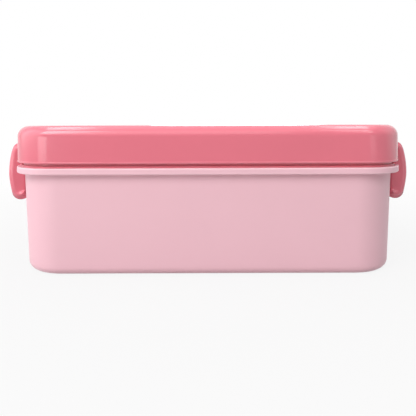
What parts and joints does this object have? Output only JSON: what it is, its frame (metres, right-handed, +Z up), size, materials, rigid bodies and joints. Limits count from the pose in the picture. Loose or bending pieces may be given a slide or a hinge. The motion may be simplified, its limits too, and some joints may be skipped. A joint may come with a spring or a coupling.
{
  "type": "bento lunch box",
  "caption": "Rectangular bento lunch box with a deep rounded lid, a rim flange and a swinging latch on each short end.",
  "frame": {"origin": "middle of the base, on the plane that the box stands on", "axes": "+X along the long side towards the right-hand latch, +Y from the front long side to the back one, +Z up"},
  "size_m": [0.2054, 0.106, 0.0701],
  "materials": {
    "container": "satin pale pink",
    "lid": "polished coral pink",
    "latch": "polished coral pink",
    "gasket": "soft translucent white silicone",
    "divider": "satin pale pink"
  },
  "bodies": {
    "container": {"container": "container"},
    "lid": {"lid": "lid", "lid_gasket": "gasket"},
    "latch_left": {"latch_left": "latch"},
    "latch_right": {"latch_right": "latch"},
    "divider": {"divider": "divider"}
  },
  "joints": [
    {"name": "lid_lift", "type": "slide", "parent": "container", "child": "lid", "axis": [0, 0, 1], "range_m": [0, 0.012]},
    {"name": "latch_left_hinge", "type": "hinge", "parent": "lid", "child": "latch_left", "pos_m": [-0.0976, 0, 0.0575], "axis": [0, 1, 0], "range_deg": [0, 115]},
    {"name": "latch_right_hinge", "type": "hinge", "parent": "lid", "child": "latch_right", "pos_m": [0.0976, 0, 0.0575], "axis": [0, -1, 0], "range_deg": [0, 115]},
    {"name": "divider_slide", "type": "slide", "parent": "container", "child": "divider", "axis": [1, 0, 0], "range_m": [-0.08, 0.04]}
  ],
  "couplings": [
    {"joint": "latch_left_hinge", "follows": "lid_lift", "rad_per_m": 167.2},
    {"joint": "latch_right_hinge", "follows": "lid_lift", "rad_per_m": 167.2}
  ]
}
